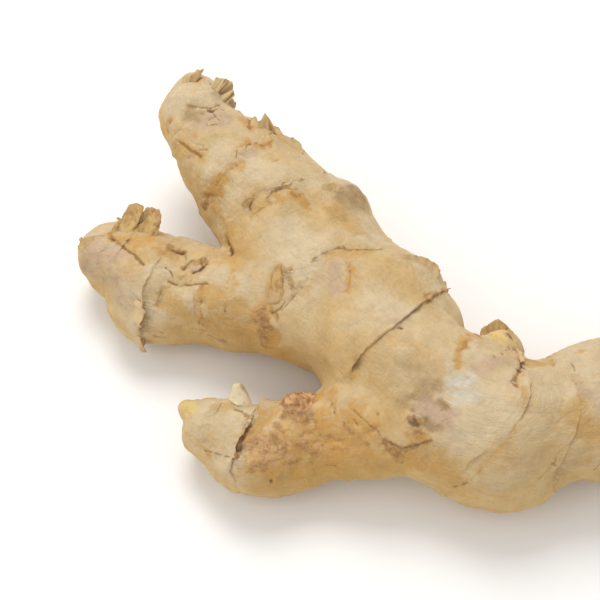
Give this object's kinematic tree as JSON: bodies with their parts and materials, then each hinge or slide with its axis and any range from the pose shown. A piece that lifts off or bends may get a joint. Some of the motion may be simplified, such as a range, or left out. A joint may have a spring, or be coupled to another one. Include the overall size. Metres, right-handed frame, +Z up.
{
  "type": "ginger root",
  "caption": "Fresh ginger root lying flat: a hand of thick ringed fingers grown as one body, with growth rings, dry scales, buds and a broken root's scar.",
  "frame": {"origin": "centre of the root's bounding box in X and Y to within a millimetre, on the surface that it lies on", "axes": "+X along its length, from the left finger's tip to the thick end; +Y towards the upper finger's tip; +Z up"},
  "size_m": [0.1601, 0.1168, 0.0369],
  "materials": {
    "skin": "matte natural skin, papery, with fine fibres and orange-brown stains along the rings"
  },
  "bodies": {
    "root": {"ginger_root": "skin"}
  },
  "joints": []
}
